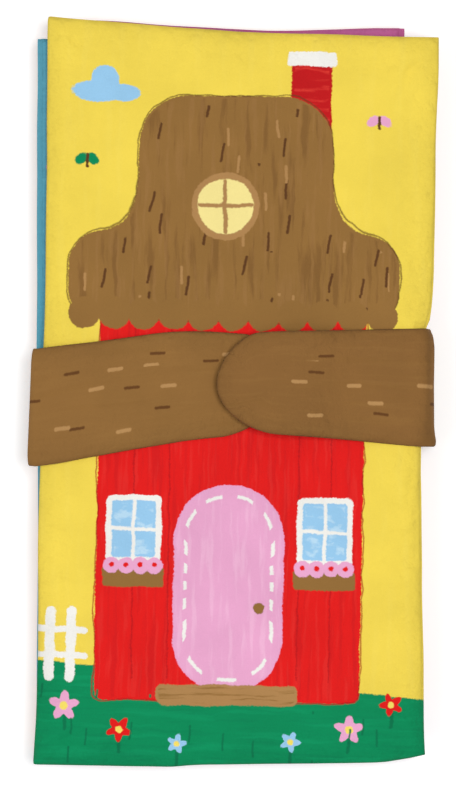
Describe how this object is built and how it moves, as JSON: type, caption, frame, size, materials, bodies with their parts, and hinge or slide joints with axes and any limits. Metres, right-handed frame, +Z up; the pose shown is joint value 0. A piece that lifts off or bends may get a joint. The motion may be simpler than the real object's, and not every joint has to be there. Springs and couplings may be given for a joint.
{
  "type": "crinkle book",
  "caption": "Soft cloth crinkle book, folded shut in a zigzag of padded pages and held closed by two padded arms that cross over the cover and fasten with hook and loop patches.",
  "frame": {"origin": "on the table under the middle of the closed book's bounding box", "axes": "+Z up out of the front cover, +Y towards the head of the cover, +X to the reader's right"},
  "size_m": [0.125, 0.2306, 0.0267],
  "materials": {
    "yellow_cloth": "printed polyester cloth, matte",
    "teal_cloth": "printed polyester cloth, matte",
    "magenta_cloth": "printed polyester cloth, matte",
    "orange_cloth": "printed polyester cloth, matte",
    "pale_blue_cloth": "printed polyester cloth, matte",
    "brown_cloth": "printed polyester cloth, matte",
    "wadding": "loose polyester wadding",
    "crinkle_film": "thin rustling film",
    "fastening_patch": "hook and loop tape"
  },
  "bodies": {
    "back_cover": {"back_cover_outer_cloth": "yellow_cloth", "back_cover_inner_cloth": "pale_blue_cloth", "back_cover_wadding": "wadding", "back_cover_crinkle_film": "crinkle_film", "fold_back_cover_to_page_4": "orange_cloth"},
    "page_4": {"page_4_upper_cloth": "orange_cloth", "page_4_lower_cloth": "pale_blue_cloth", "page_4_wadding": "wadding", "page_4_crinkle_film": "crinkle_film", "fold_page_4_to_page_3": "magenta_cloth"},
    "page_3": {"page_3_upper_cloth": "magenta_cloth", "page_3_lower_cloth": "orange_cloth", "page_3_wadding": "wadding", "page_3_crinkle_film": "crinkle_film", "fold_page_3_to_page_2": "teal_cloth"},
    "page_2": {"page_2_upper_cloth": "teal_cloth", "page_2_lower_cloth": "magenta_cloth", "page_2_wadding": "wadding", "page_2_crinkle_film": "crinkle_film", "fold_page_2_to_front_cover": "yellow_cloth"},
    "front_cover": {"front_cover_outer_cloth": "yellow_cloth", "front_cover_inner_cloth": "teal_cloth", "front_cover_wadding": "wadding", "front_cover_crinkle_film": "crinkle_film", "left_arm_bend": "brown_cloth"},
    "left_arm": {"left_arm_outer_cloth": "brown_cloth", "left_arm_lining": "brown_cloth", "left_arm_wadding": "wadding", "hook_patch": "fastening_patch"},
    "right_arm_side": {"right_arm_lower_bend": "brown_cloth", "right_arm_side_cloth": "brown_cloth", "right_arm_side_lining": "brown_cloth", "right_arm_side_wadding": "wadding", "right_arm_upper_bend": "brown_cloth"},
    "right_arm": {"right_arm_outer_cloth": "brown_cloth", "right_arm_lining": "brown_cloth", "right_arm_wadding": "wadding", "loop_patch": "fastening_patch"}
  },
  "joints": [
    {"name": "turn_page_4", "type": "hinge", "parent": "back_cover", "child": "page_4", "pos_m": [-0.0573, 0, 0.00345], "axis": [0, -1, 0], "range_deg": [0, 180], "deforming": ["fold_back_cover_to_page_4"]},
    {"name": "turn_page_3", "type": "hinge", "parent": "page_4", "child": "page_3", "pos_m": [0.051, 0, 0.00705], "axis": [0, 1, 0], "range_deg": [0, 180], "deforming": ["fold_page_4_to_page_3"]},
    {"name": "turn_page_2", "type": "hinge", "parent": "page_3", "child": "page_2", "pos_m": [-0.06143, 0, 0.01065], "axis": [0, -1, 0], "range_deg": [0, 180], "deforming": ["fold_page_3_to_page_2"]},
    {"name": "turn_front_cover", "type": "hinge", "parent": "page_2", "child": "front_cover", "pos_m": [0.0608, 0, 0.01425], "axis": [0, 1, 0], "range_deg": [0, 180], "deforming": ["fold_page_2_to_front_cover"]},
    {"name": "open_left_arm", "type": "hinge", "parent": "front_cover", "child": "left_arm", "pos_m": [-0.06025, 0, 0.01767], "axis": [0, -1, 0], "range_deg": [0, 175], "deforming": ["left_arm_bend"]},
    {"name": "open_right_arm", "type": "hinge", "parent": "back_cover", "child": "right_arm_side", "pos_m": [0.0612, 0, 0.00165], "axis": [0, 1, 0], "range_deg": [0, 85], "deforming": ["right_arm_lower_bend", "right_arm_side_cloth", "right_arm_side_lining", "right_arm_side_wadding"]},
    {"name": "unbend_right_arm", "type": "hinge", "parent": "right_arm_side", "child": "right_arm", "pos_m": [0.0612, 0, 0.01936], "axis": [0, 1, 0], "range_deg": [0, 85], "deforming": ["right_arm_upper_bend", "right_arm_outer_cloth", "right_arm_lining", "right_arm_wadding", "loop_patch"]}
  ],
  "couplings": [
    {"joint": "turn_page_3", "follows": "turn_page_4", "ratio": 1},
    {"joint": "turn_page_2", "follows": "turn_page_4", "ratio": 1},
    {"joint": "turn_front_cover", "follows": "turn_page_4", "ratio": 1},
    {"joint": "unbend_right_arm", "follows": "open_right_arm", "ratio": 1}
  ]
}
